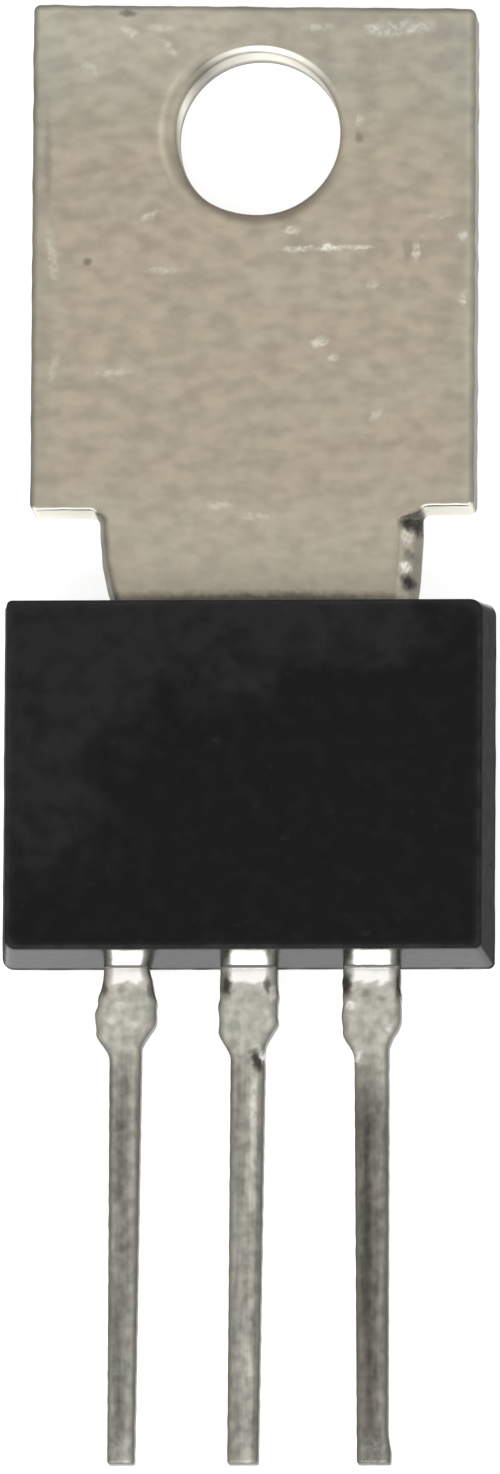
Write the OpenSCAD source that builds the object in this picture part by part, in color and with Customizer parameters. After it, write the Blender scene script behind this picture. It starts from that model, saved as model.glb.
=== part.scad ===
// Three-lead power transistor: a drafted epoxy body moulded round a stamped
// metal frame, whose thick tab is screwed to a heat sink.
//
// Millimetres. The backs of the tab, the header and the body lie on z = 0, and
// the front face looks along +Z. The tab's free end points to +Y and the leads
// to -Y. The origin is the centre of the mounting hole on the back.

/* [Mounting tab] */
// Width across the tab
tab_w = 9.26; // [8.4:0.02:12]
// Thickness of the tab, the neck and the header
tab_t = 1.27; // [0.9:0.01:1.6]
// Distance from the hole's centre to the tab's free end
tab_end = 2.68; // [2.4:0.02:5]
// Distance from the hole's centre to the tab's shoulders
tab_shoulder = 7.92; // [5:0.01:9]
// Sideways offset of the tab's middle from the hole's centre
tab_offset = -0.09; // [-0.3:0.01:0.3]
// Angle by which the free end is sheared out of square
end_skew = 0.8; // [0:0.1:2]
// Angle by which the shoulders are sheared out of square
shoulder_skew = -0.4; // [-1:0.1:1]
// Diameter of the mounting hole
hole_d = 3.4; // [2.8:0.05:3.8]
// Radius of the rolled edge that the punch leaves round the hole's front
hole_roll = 0.15; // [0.05:0.01:0.25]

/* [Neck] */
// Width of the neck at its back, under the shoulders
neck_w = 6.76; // [5:0.02:7.2]
// Sideways offset of the neck's middle from the hole's centre
neck_offset = 0.05; // [-0.3:0.01:0.3]
// Radius in the corners between the shoulders and the neck
neck_corner_r = 0.15; // [0.05:0.01:0.3]
// How far the neck's left side draws in by the time it meets the body
waist_left = 0.36; // [0.05:0.01:0.45]
// How far the neck's right side draws in by the time it meets the body
waist_right = 0.17; // [0.05:0.01:0.45]
// Width of the coined bevel down the neck's left side
bevel_left = 0.17; // [0.05:0.01:0.6]
// Width of the coined bevel down the neck's right side
bevel_right = 0.42; // [0.05:0.01:0.6]
// Height at which the bevels start, above the back
bevel_start = 0.25; // [0.1:0.01:0.6]

/* [Header inside the body] */
// Width of the header at its front, where the die sits
header_w = 7.7; // [7.3:0.05:8.6]
// Distance from the header's lower edge to the body's lower end
header_margin = 2.3; // [1.9:0.05:3]
// Width of the step along each side that locks the header in the resin
lock_step = 0.35; // [0.1:0.01:0.6]
// Height of that step above the back
lock_height = 0.55; // [0.3:0.01:0.8]
// Width of the vee groove across the neck, where the body starts
groove_w = 0.36; // [0.2:0.01:0.5]
// Radius of the header's lower corners
header_corner_r = 0.5; // [0.2:0.05:1]

/* [Moulded body] */
// Width of the body at its parting line
body_w = 10.2; // [9.6:0.05:12]
// Height of the body at its parting line, along the leads
body_l = 7.62; // [6.8:0.02:10]
// Thickness of the body from back to front
body_t = 4.57; // [4.2:0.01:5.4]
// Distance from the hole's centre to the body's upper end
hole_to_body = 10.14; // [9.4:0.02:12]
// Height of the parting line above the back
parting_h = 2.57; // [2.3:0.01:2.8]
// Draft of the front half's walls, in degrees
front_draft = 5.1; // [1:0.1:8]
// Draft of the back half's walls, in degrees
back_draft = 7; // [1:0.1:10]
// Radius of the corners seen from the front
body_corner_r = 0.24; // [0.15:0.01:0.6]
// Radius of the front face's edges
front_edge_r = 0.1; // [0.04:0.01:0.14]

/* [Leads] */
// Spacing of the leads
lead_pitch = 2.54; // [2.3:0.01:2.8]
// Thickness of the leads
lead_t = 0.5; // [0.35:0.01:0.6]
// Length of the leads outside the body
lead_l = 10.3; // [6:0.1:16]
// Width of the left lead's stem just past its pad
left_stem_w = 0.66; // [0.5:0.01:0.9]
// Width of the left lead at its tip
left_tip_w = 0.56; // [0.4:0.01:0.9]
// Width of the other two stems just past their pads
stem_w = 0.71; // [0.5:0.01:0.9]
// Width of the other two leads at their tips
tip_w = 0.64; // [0.4:0.01:0.9]
// Width of the pads left by the cut tie bar
pad_w = 1.24; // [1:0.01:1.4]
// Width of the left lead where it leaves the body
left_root_w = 0.93; // [0.8:0.01:1.2]
// Width of the middle and right leads where they leave the body
root_w = 1.26; // [1:0.01:1.4]
// Distance from the body at which the pads reach their width
pad_rise = 0.85; // [0.4:0.05:1]
// Distance from the body at which the pads start to narrow
pad_l = 1.2; // [1.05:0.05:1.6]
// Length over which a pad narrows to the stem
pad_taper = 0.6; // [0.3:0.05:1]
// Sideways drift of the left lead's tip
left_drift = -0.05; // [-0.3:0.01:0.3]
// Sideways drift of the middle lead's tip
middle_drift = -0.07; // [-0.3:0.01:0.3]
// Sideways drift of the right lead's tip
right_drift = 0.07; // [-0.3:0.01:0.3]

/* [Bond posts and joggle] */
// Width of the bond posts at the outer leads' inner ends
post_w = 1.7; // [1.4:0.05:1.9]
// Length of the bond posts
post_l = 1.2; // [0.8:0.05:1.5]
// Distance from the bond posts to the body's lower end
post_inset = 0.6; // [0.4:0.05:0.8]
// How far the posts stand in from the leads' own lines
post_shift = 0.25; // [0:0.05:0.35]
// Slope of the joggle that lifts the middle lead, in degrees
joggle_slope = 60; // [50:1:75]
// Flat stretch of the middle lead between the header and the joggle
joggle_start = 0.25; // [0.1:0.05:0.4]

/* [Die and wires] */
// Side of the square die
die_w = 2; // [1.4:0.1:2.6]
// Thickness of the die
die_t = 0.28; // [0.15:0.01:0.4]
// Distance from the die to the header's lower edge
die_inset = 0.9; // [0.5:0.05:1.4]
// Thickness of the solder under the die
solder_t = 0.05; // [0.03:0.01:0.1]
// How far the solder stands out round the die
solder_rim = 0.1; // [0.05:0.01:0.3]
// Thickness of the metal contacts on top of the die
contact_t = 0.03; // [0.02:0.01:0.05]
// Number of fingers on each contact
fingers = 4; // [2:1:6]
// Diameter of the bond wires
wire_d = 0.25; // [0.15:0.01:0.35]
// Height of the wires' arches above a straight run
wire_arch = 0.55; // [0.3:0.05:0.8]
// Length of the flattened foot at each end of a wire
wire_foot = 0.4; // [0.2:0.05:0.5]

/* [Hidden] */
$fn = 64;

// Steps in a curved outline, and in the blend of a pad
curve_steps = 8;
// Overlap of solids that are fused into one
fuse = 0.3;
// Height of the thin slabs that start each half of the body
slab = 0.02;

// Lines across the part, measured along Y
body_top = -hole_to_body;
body_end = body_top - body_l;
header_end = body_end + header_margin;
post_start = body_end + post_inset;
die_y = header_end + die_inset + die_w / 2;

// Levels, measured along Z
lead_z = parting_h - lead_t / 2;
lead_top = lead_z + lead_t;
die_z = tab_t + solder_t;
die_top = die_z + die_t;
contact_top = die_top + contact_t;

// Neck sides at the back, and the lines up to which the neck runs into the tab
// and down into the body
neck_left = neck_offset - neck_w / 2;
neck_right = neck_offset + neck_w / 2;
neck_high = -tab_shoulder + 2 * fuse;
neck_root = body_top - groove_w - fuse;

// Sides and rings of a bond wire
wire_sides = 8;
wire_rings = 20;
// Height and width of a flattened wire foot, as shares of the wire's own
foot_flat = 0.6;
foot_spread = 1.3;
// Width of each contact's bus bar, and the slit between the two contacts
bus_w = 0.22 * die_w;
contact_slit = 0.03 * die_w;
// Margin between the contacts and the die's edge
contact_margin = 0.06 * die_w;

// Smooth blend from 0 to 1
function ease(t) = t * t * (3 - 2 * t);

// Value between a and b
function mix(a, b, t) = a + (b - a) * t;

// Height of the sheared free end and of the sheared shoulders at a given x
function end_y(x) = tab_end - x * tan(end_skew);
function shoulder_y(x) = -tab_shoulder - x * tan(shoulder_skew);

// Points given in order, from the last to the first
function reversed(points) = [for (i = [len(points) - 1:-1:0]) points[i]];

// The tab seen from the front, with its sheared ends
module tab_outline() {
    left = tab_offset - tab_w / 2;
    right = tab_offset + tab_w / 2;
    polygon([
        [left, end_y(left)],
        [left, shoulder_y(left)],
        [right, shoulder_y(right)],
        [right, end_y(right)]
    ]);
}

// The mounting hole, with the rolled edge at its front
module mounting_hole() {
    translate([0, 0, -1])
        cylinder(d = hole_d, h = tab_t + 2);
    difference() {
        translate([0, 0, tab_t - hole_roll])
            cylinder(r = hole_d / 2 + hole_roll, h = 1);
        rotate_extrude()
            translate([hole_d / 2 + hole_roll, tab_t - hole_roll])
                circle(r = hole_roll);
    }
}

// Vee groove across the neck's front, just inside the body
module moisture_groove() {
    reach = tab_w + header_w;
    translate([-reach / 2, body_top - groove_w / 2, tab_t])
        rotate([0, 90, 0])
            linear_extrude(reach)
                polygon([[0, -groove_w / 2], [0, groove_w / 2], [groove_w / 2, 0]]);
}

// Large bevelled disc whose rim is one side of the neck: side is -1 for the
// left one and 1 for the right one, and x is where the rim is upright
module neck_disc(side, x, waist, bevel) {
    y = shoulder_y(x) - neck_corner_r;
    run = y - body_top;
    r = (run * run + waist * waist) / (2 * waist);
    translate([x - side * r, y, 0]) {
        cylinder(r = r, h = bevel_start, $fn = 256);
        translate([0, 0, bevel_start])
            cylinder(r1 = r, r2 = r - bevel, h = tab_t - bevel_start, $fn = 256);
    }
}

// Rounded corner between a shoulder and the foot of the neck's side
module neck_corner(side, x) {
    y = shoulder_y(x);
    difference() {
        translate([side > 0 ? x - fuse : x - neck_corner_r, y - neck_corner_r, 0])
            cube([neck_corner_r + fuse, neck_corner_r + fuse, bevel_start]);
        translate([x + side * neck_corner_r, y - neck_corner_r, -1])
            cylinder(r = neck_corner_r, h = bevel_start + 2);
    }
}

// The neck, with curved sides and a coined bevel down each side of its front
module neck() {
    intersection() {
        neck_disc(-1, neck_left, waist_left, bevel_left);
        neck_disc(1, neck_right, waist_right, bevel_right);
        translate([-tab_w / 2, neck_root, 0])
            cube([tab_w, neck_high - neck_root, tab_t]);
    }
    neck_corner(-1, neck_left);
    neck_corner(1, neck_right);
}

// Rectangle hung from the line y_high, with its two lower corners rounded
module hung_plate(width, y_high, y_low, corner_r) {
    translate([-width / 2, y_low + corner_r])
        square([width, y_high - y_low - corner_r]);
    translate([-width / 2 + corner_r, y_low])
        square([width - 2 * corner_r, corner_r + fuse]);
    for (side = [-1, 1])
        translate([side * (width / 2 - corner_r), y_low + corner_r])
            circle(r = corner_r);
}

// The header under the die, stepped along its sides so the resin grips it
module header() {
    y_high = body_top - groove_w;
    linear_extrude(tab_t)
        hung_plate(header_w - 2 * lock_step, y_high, header_end, header_corner_r);
    translate([0, 0, lock_height])
        linear_extrude(tab_t - lock_height)
            hung_plate(header_w, y_high, header_end, header_corner_r);
}

// Widths of the left lead and of the other two, each at the root, past the pad
// and at the tip
left_widths = [left_root_w, left_stem_w, left_tip_w];
widths = [root_w, stem_w, tip_w];

// Width at a distance s from the body, of a lead with those three widths w
function lead_width(s, w) =
    s <= 0 ? w[0]
    : s < pad_rise ? mix(w[0], pad_w, ease(s / pad_rise))
    : s < pad_l ? pad_w
    : s < pad_l + pad_taper ? mix(pad_w, w[1], ease((s - pad_l) / pad_taper))
    : mix(w[1], w[2], (s - pad_l - pad_taper) / (lead_l - pad_l - pad_taper));

// Distances along a lead at which its outline has a point
lead_stations = concat(
    [for (i = [0:curve_steps - 1]) pad_rise * i / curve_steps],
    [pad_rise],
    [for (i = [0:curve_steps]) pad_l + pad_taper * i / curve_steps],
    [lead_l]
);

// One lead outside the body, and inside it back to the line y_in
module lead_blade(x, w, drift, y_in) {
    left = [
        for (s = lead_stations)
            [x + drift * s / lead_l - lead_width(s, w) / 2, body_end - s]
    ];
    right = [
        for (s = lead_stations)
            [x + drift * s / lead_l + lead_width(s, w) / 2, body_end - s]
    ];
    translate([0, 0, lead_z])
        linear_extrude(lead_t)
            polygon(concat(
                [[x - w[0] / 2, y_in]],
                left,
                reversed(right),
                [[x + w[0] / 2, y_in]]
            ));
}

// The middle lead's rise from the header's front to the leads' own level
joggle_low = header_end - joggle_start;
joggle_run = (lead_top - tab_t) / tan(joggle_slope);
joggle_high = joggle_low - joggle_run;
joggle_shift = lead_t * tan(joggle_slope / 2);
lead_overlap = lead_t / 10;

module joggle() {
    translate([root_w / 2, 0, 0])
        rotate([0, -90, 0])
            linear_extrude(root_w)
                polygon([
                    [tab_t, header_end + fuse],
                    [tab_t, joggle_low],
                    [lead_top, joggle_high],
                    [lead_top, joggle_high - joggle_shift - lead_overlap],
                    [lead_z, joggle_high - joggle_shift - lead_overlap],
                    [lead_z, joggle_high - joggle_shift],
                    [tab_t - lead_t, joggle_low - joggle_shift],
                    [tab_t - lead_t, header_end + fuse]
                ]);
}

// An outer lead: side is -1 for the left one and 1 for the right one
module outer_lead(side, w, drift) {
    x = side * lead_pitch;
    lead_blade(x, w, drift, post_start + fuse);
    translate([x - side * post_shift - post_w / 2, post_start, lead_z])
        cube([post_w, post_l, lead_t]);
}

// Four corner posts of one half of the body, drawn in by inset
module corner_spots(inset, r) {
    for (sx = [-1, 1], sy = [-1, 1])
        translate([
            sx * (body_w / 2 - inset - r),
            body_top - body_l / 2 + sy * (body_l / 2 - inset - r)
        ])
            children();
}

// The body's full outer form: two drafted halves that meet at the parting line
module body_block() {
    front_in = (body_t - parting_h) * tan(front_draft);
    back_in = parting_h * tan(back_draft);
    hull() {
        translate([0, 0, parting_h - slab])
            corner_spots(0, body_corner_r)
                cylinder(r = body_corner_r, h = slab, $fn = 32);
        translate([0, 0, body_t - front_edge_r])
            corner_spots(front_in, body_corner_r) {
                rotate_extrude($fn = 32)
                    intersection() {
                        union() {
                            translate([body_corner_r - front_edge_r, 0])
                                circle(r = front_edge_r, $fn = 24);
                            translate([0, -front_edge_r])
                                square([body_corner_r - front_edge_r, 2 * front_edge_r]);
                        }
                        translate([0, -front_edge_r])
                            square([body_corner_r, 2 * front_edge_r]);
                    }
            }
    }
    hull() {
        translate([0, 0, parting_h - slab])
            corner_spots(0, body_corner_r)
                cylinder(r = body_corner_r, h = slab, $fn = 32);
        corner_spots(back_in, body_corner_r)
            cylinder(r = body_corner_r, h = slab, $fn = 32);
    }
}

// One contact's bus bar and fingers on top of the die, side -1 left, 1 right
module contact(side) {
    reach = die_w - 2 * contact_margin;
    rows = 2 * fingers;
    row = (reach + contact_slit) / rows;
    translate([0, die_y - reach / 2, die_top]) {
        translate([side > 0 ? reach / 2 - bus_w : -reach / 2, 0, 0])
            cube([bus_w, reach, contact_t]);
        for (i = [0:fingers - 1])
            translate([
                side > 0 ? -reach / 2 + bus_w + contact_slit : -reach / 2,
                row * (2 * i + (side > 0 ? 0 : 1)),
                0
            ])
                cube([reach - bus_w - contact_slit, row - contact_slit, contact_t]);
    }
}

// Rings of a bond wire that runs from one surface point to another. Each ring
// is [distance along the run, height, half width, half height, slope].
function wire_rings_of(run, z_from, z_to) =
    let (
        flat = cos(180 / wire_sides),
        r = wire_d / 2,
        rise = z_to - z_from
    )
    concat(
        [[-wire_foot, z_from + flat * r * foot_flat, r * foot_spread, r * foot_flat, 0]],
        [
            for (i = [0:wire_rings])
                let (
                    t = i / wire_rings,
                    round = ease(min(1, min(t, 1 - t) * 6)),
                    half_h = r * mix(foot_flat, 1, round),
                    half_w = r * mix(foot_spread, 1, round),
                    lift = rise * ease(t) + wire_arch * pow(sin(180 * t), 2),
                    climb = rise * 6 * t * (1 - t) + wire_arch * PI * sin(360 * t)
                )
                [run * t, z_from + flat * half_h + lift, half_w, half_h, atan2(climb, run)]
        ],
        [[run + wire_foot, z_to + flat * r * foot_flat, r * foot_spread, r * foot_flat, 0]]
    );

// A bond wire between two points, each [x, y, z] on the metal it is welded to
module bond_wire(from, to) {
    run = norm([to[0] - from[0], to[1] - from[1]]);
    rings = wire_rings_of(run, from[2], to[2]);
    count = len(rings);
    n = wire_sides;
    translate([from[0], from[1], 0])
        rotate([0, 0, atan2(to[1] - from[1], to[0] - from[0])])
            polyhedron(
                points = [
                    for (ring = rings, k = [0:n - 1])
                        let (a = 360 * (k + 0.5) / n, up = ring[3] * sin(a))
                        [
                            ring[0] - up * sin(ring[4]),
                            ring[2] * cos(a),
                            ring[1] + up * cos(ring[4])
                        ]
                ],
                faces = concat(
                    [[for (k = [0:n - 1]) k]],
                    [[for (k = [n - 1:-1:0]) (count - 1) * n + k]],
                    [
                        for (i = [0:count - 2], k = [0:n - 1])
                            [i * n + k, (i + 1) * n + k, i * n + (k + 1) % n]
                    ],
                    [
                        for (i = [0:count - 2], k = [0:n - 1])
                            [
                                (i + 1) * n + k,
                                (i + 1) * n + (k + 1) % n,
                                i * n + (k + 1) % n
                            ]
                    ]
                )
            );
}

// A wire from the middle of a contact's bus bar to the middle of its post
module post_wire(side) {
    bus_x = die_w / 2 - contact_margin - bus_w / 2;
    bond_wire(
        [side * bus_x, die_y - die_w / 4, contact_top],
        [side * (lead_pitch - post_shift), post_start + post_l / 2, lead_top]
    );
}

module package_body() {
    color([0.13, 0.13, 0.13])
        difference() {
            body_block();
            collector_frame();
            emitter_lead();
            base_lead();
            silicon_die();
            die_solder();
            emitter_bond_wire();
            base_bond_wire();
        }
}

module collector_frame() {
    color([0.68, 0.64, 0.57]) {
        difference() {
            union() {
                linear_extrude(tab_t)
                    tab_outline();
                neck();
            }
            mounting_hole();
            moisture_groove();
        }
        header();
        joggle();
        lead_blade(0, widths, middle_drift, joggle_high - joggle_shift);
    }
}

module emitter_lead() {
    color([0.6, 0.6, 0.56])
        outer_lead(-1, left_widths, left_drift);
}

module base_lead() {
    color([0.6, 0.6, 0.56])
        outer_lead(1, widths, right_drift);
}

module silicon_die() {
    color([0.32, 0.34, 0.4]) {
        translate([-die_w / 2, die_y - die_w / 2, die_z])
            cube([die_w, die_w, die_t]);
        contact(-1);
        contact(1);
    }
}

module die_solder() {
    side = die_w + 2 * solder_rim;
    color([0.72, 0.72, 0.74])
        translate([-side / 2, die_y - side / 2, tab_t])
            cube([side, side, solder_t]);
}

module emitter_bond_wire() {
    color([0.8, 0.8, 0.82])
        post_wire(-1);
}

module base_bond_wire() {
    color([0.8, 0.8, 0.82])
        post_wire(1);
}

package_body();
collector_frame();
emitter_lead();
base_lead();
silicon_die();
die_solder();
emitter_bond_wire();
base_bond_wire();
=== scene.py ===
"""Visual model of a three-lead power transistor.

A stamped, plated frame carries a punched tab, a coined neck and the middle lead. Two outer leads stand
beside it, and a drafted black moulding holds them all. Lengths are in metres, in the frame's own axes:
the tab's back lies on z = 0, its free end points to +Y and the leads to -Y, and the mounting hole is
round the Z axis.
"""

import logging
import math
from dataclasses import dataclass
from enum import Enum
from functools import cached_property
from typing import Sequence

import bpy
import numpy as np
from mathutils import Matrix, Vector


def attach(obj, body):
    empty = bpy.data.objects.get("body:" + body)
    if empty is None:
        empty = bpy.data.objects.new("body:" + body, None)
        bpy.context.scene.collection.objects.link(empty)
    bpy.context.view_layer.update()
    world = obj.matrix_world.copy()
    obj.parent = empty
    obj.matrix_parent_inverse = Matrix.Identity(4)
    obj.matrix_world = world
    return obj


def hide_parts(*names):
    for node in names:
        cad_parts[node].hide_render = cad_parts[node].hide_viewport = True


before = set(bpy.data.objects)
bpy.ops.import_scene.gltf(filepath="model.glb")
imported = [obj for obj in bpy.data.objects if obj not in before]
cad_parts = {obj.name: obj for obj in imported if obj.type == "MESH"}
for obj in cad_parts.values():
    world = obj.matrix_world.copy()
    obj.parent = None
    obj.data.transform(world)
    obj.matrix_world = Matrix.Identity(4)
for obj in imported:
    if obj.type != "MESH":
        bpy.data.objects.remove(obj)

MM = 0.001
ARC_STEPS = 6
QUARTER = np.linspace(0.0, math.pi / 2, ARC_STEPS + 1)
SINE = np.sin(QUARTER)
RISE = 1.0 - np.cos(QUARTER)
SHARP_ANGLE = math.radians(40.0)
PLAIN_METAL = {"edge": 0.0, "shade": 1.0, "clean": 0.0, "gloss": 0.0, "streak": 1.0, "cool": 0.0}
MIX_COLOUR_INPUTS = (6, 7)
MIX_COLOUR_OUTPUT = 2

log = logging.getLogger("power_transistor")

Numbers = np.ndarray | float
Triple = tuple[float, float, float]
Bearing = tuple[float, float]
Owner = bpy.types.Material | bpy.types.World
Socket = bpy.types.NodeSocket


class Slot(Enum):
    """Material slots of the record; nothing in this script uses them."""

    EPOXY = "epoxy"
    FRAME = "plated_frame"
    LEAD = "tinned_lead"


class Side(Enum):
    """Which of the two outer leads a piece is, seen from the front."""

    LEFT = -1
    RIGHT = 1


# ---------------------------------------------------------------- surfaces


def ease(t: Numbers) -> np.ndarray:
    """Smooth blend from 0 to 1: t * t * (3 - 2t), held at its ends."""
    t = np.clip(t, 0.0, 1.0)
    return t * t * (3.0 - 2.0 * t)


def bell(x: Numbers, middle: float, width: float) -> np.ndarray:
    """Bell curve of height 1: exp(-((x - middle) / width) ** 2)."""
    return np.exp(-(((x - middle) / width) ** 2))


def unit(vectors: np.ndarray) -> np.ndarray:
    """Vectors along the last axis, each divided by its own length."""
    return vectors / np.linalg.norm(vectors, axis=-1, keepdims=True)


def bearing(points: np.ndarray) -> np.ndarray:
    """Angles of points round the hole's axis, in degrees from +X: arctan(y / x), from 0 to 360."""
    return np.degrees(np.arctan2(points[..., 1], points[..., 0])) % 360.0


def table(*columns: Numbers | Sequence[float]) -> np.ndarray:
    """Rows of numbers, from columns of one length or of a single number."""
    return np.stack(np.broadcast_arrays(*map(np.atleast_1d, columns)), -1)


def raised(plan: np.ndarray, height: Numbers) -> np.ndarray:
    """Points of a plan, each lifted to its height."""
    return np.concatenate([plan, np.broadcast_to(height, plan.shape[:-1])[..., None]], -1)


def plated(grid: tuple[int, int], **known: Numbers) -> dict[str, np.ndarray]:
    """Values that the plated finish reads on a grid of points, plain where they aren't known."""
    return {key: np.broadcast_to(known.get(key, plain), grid) for key, plain in PLAIN_METAL.items()}


@dataclass(frozen=True)
class Waves:
    """Seeded, smooth, uneven wave of a position, made of a few sines.

    Formula: the height times the sum of the sines over the root of their number. Their directions,
    lengths and phases are drawn from the seed, with lengths between half and twice the wavelength.
    """

    seed: int
    wavelength: float
    height: float = 1.0
    count: int = 9

    def at(self, points: np.ndarray) -> np.ndarray:
        """Works out the wave at each point.

        Args:
            points: Positions, with their coordinates along the last axis.

        Returns:
            The wave's values, without the last axis.
        """
        rng = np.random.default_rng(self.seed)
        directions = unit(rng.normal(size=(self.count, points.shape[-1])))
        lengths = self.wavelength * 2.0 ** rng.uniform(-1.0, 1.0, self.count)
        phases = rng.uniform(0.0, 2.0 * math.pi, self.count)
        angles = 2.0 * math.pi * (points @ directions.T) / lengths + phases
        return self.height * (np.sin(angles).sum(-1) / math.sqrt(self.count))


def filleted_outline(corners: np.ndarray, radii: Sequence[float], divisions: Sequence[int]) -> np.ndarray:
    """Closed outline through corners, each rounded by an arc tangent to its two sides.

    Formula: in a corner that turns by an angle a, the arc of radius r starts r * tan(a / 2) before the
    corner, and its centre lies r to the side that the outline turns to. The side after each arc is
    divided evenly.

    Args:
        corners: Corner points, one row each, anticlockwise.
        radii: Radius of each corner's arc.
        divisions: Number of steps along the side that follows each corner.

    Returns:
        Outline points, one row each.
    """
    ahead = unit(np.roll(corners, -1, 0) - corners)
    behind = np.roll(ahead, 1, 0)
    cross = behind[:, 0] * ahead[:, 1] - behind[:, 1] * ahead[:, 0]
    turn = np.arctan2(cross, (behind * ahead).sum(1))
    radii = np.asarray(radii, float)
    cut = (radii * np.tan(np.abs(turn) / 2.0))[:, None]
    start, end = corners - behind * cut, corners + ahead * cut
    leftward = np.stack([-behind[:, 1], behind[:, 0]], 1)
    centre = start + leftward * (np.sign(turn) * radii)[:, None]
    first = np.arctan2(*(start - centre).T[::-1])
    parts = []
    for k, steps in enumerate(divisions):
        angle = first[k] + turn[k] * np.linspace(0.0, 1.0, ARC_STEPS + 1)
        parts.append(centre[k] + radii[k] * np.stack([np.cos(angle), np.sin(angle)], 1))
        t = np.linspace(0.0, 1.0, steps + 1)[1:-1, None]
        parts.append(end[k] + (start[(k + 1) % len(corners)] - end[k]) * t)
    return np.concatenate(parts)


def outward_normals(outline: np.ndarray) -> np.ndarray:
    """Unit normals of a closed anticlockwise outline, square to the line between its neighbours."""
    along = np.roll(outline, -1, 0) - np.roll(outline, 1, 0)
    return unit(np.stack([along[:, 1], -along[:, 0]], 1))


@dataclass
class Surface:
    """Closed surface made of rings of points, with values that its material reads.

    Attributes:
        rings: Points, as rings by columns by three coordinates.
        closed: Whether the last ring joins the first; otherwise the end rings are capped.
        values: Named numbers, one to a point, as rings by columns.
    """

    rings: np.ndarray
    closed: bool
    values: dict[str, np.ndarray]

    def faces(self) -> list[list[int]]:
        """Faces that point outwards.

        Formula: a quad joins two neighbours on a ring to the same two on the next. Six times the signed
        volume is the sum, over the quads, of the diagonals' cross product times the quad's middle;
        where it is negative every face is turned round.

        Returns:
            Point indices of each face.
        """
        rows, columns = self.rings.shape[:2]
        i, j = np.meshgrid(np.arange(rows if self.closed else rows - 1), np.arange(columns), indexing="ij")
        below, right = (i + 1) % rows * columns, (j + 1) % columns
        here = i * columns
        quads = np.stack([here + j, here + right, below + right, below + j], -1).reshape(-1, 4)
        a, b, c, d = self.rings.reshape(-1, 3)[quads.T]
        turn = -1 if (np.cross(c - a, d - b) * (a + b + c + d)).sum() < 0.0 else 1
        faces = quads[:, ::turn].tolist()
        if not self.closed:
            last = (rows - 1) * columns
            faces += [list(range(columns))[::-turn], list(range(last, last + columns))[::turn]]
        return faces

    def to_mesh(self, name: str) -> bpy.types.Mesh:
        """Mesh of the surface, smooth but for its sharp edges.

        Args:
            name: Name of the mesh.

        Returns:
            The new mesh, with one attribute for each named value.
        """
        mesh = bpy.data.meshes.new(name)
        mesh.from_pydata(self.rings.reshape(-1, 3).tolist(), [], self.faces())
        for key, numbers in self.values.items():
            layer = mesh.attributes.new(key, "FLOAT", "POINT")
            layer.data.foreach_set("value", np.ascontiguousarray(numbers, dtype=np.float32).ravel())
        mesh.polygons.foreach_set("use_smooth", np.ones(len(mesh.polygons), dtype=bool))
        mesh.set_sharp_from_angle(angle=SHARP_ANGLE)
        mesh.update()
        return mesh


def new_object(name: str, data: bpy.types.ID) -> bpy.types.Object:
    """Makes an object of the given data and puts it in the scene.

    Args:
        name: Name of the object.
        data: Its mesh, camera or lamp.

    Returns:
        The new object, at the origin.
    """
    made = bpy.data.objects.new(name, data)
    bpy.context.scene.collection.objects.link(made)
    return made


def add_piece(name: str, surface: Surface, material: bpy.types.Material, node: str) -> None:
    """Args:
        name: Name of the piece.
        surface: Its closed surface.
        material: Its finish.
        node: Name of the solid that it stands for.
    """
    piece = new_object(name, surface.to_mesh(name))
    piece.data.materials.append(material)
    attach(piece, "root")
    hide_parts(node)
    log.info("%s: %d faces, stands for %s", name, len(piece.data.polygons), node)


# ---------------------------------------------------------------- finishes


@dataclass(frozen=True)
class Mark:
    """Scratch, nick or stain on the front of the metal.

    Attributes:
        centre: Its centre in millimetres from the mounting hole.
        size: Half its length and half its width in millimetres.
        strength: How far the surface turns to the mark's colour.
        turn: Angle of its length from +X, in degrees.
    """

    centre: tuple[float, float]
    size: tuple[float, float]
    strength: float
    turn: float = 0.0


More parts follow.
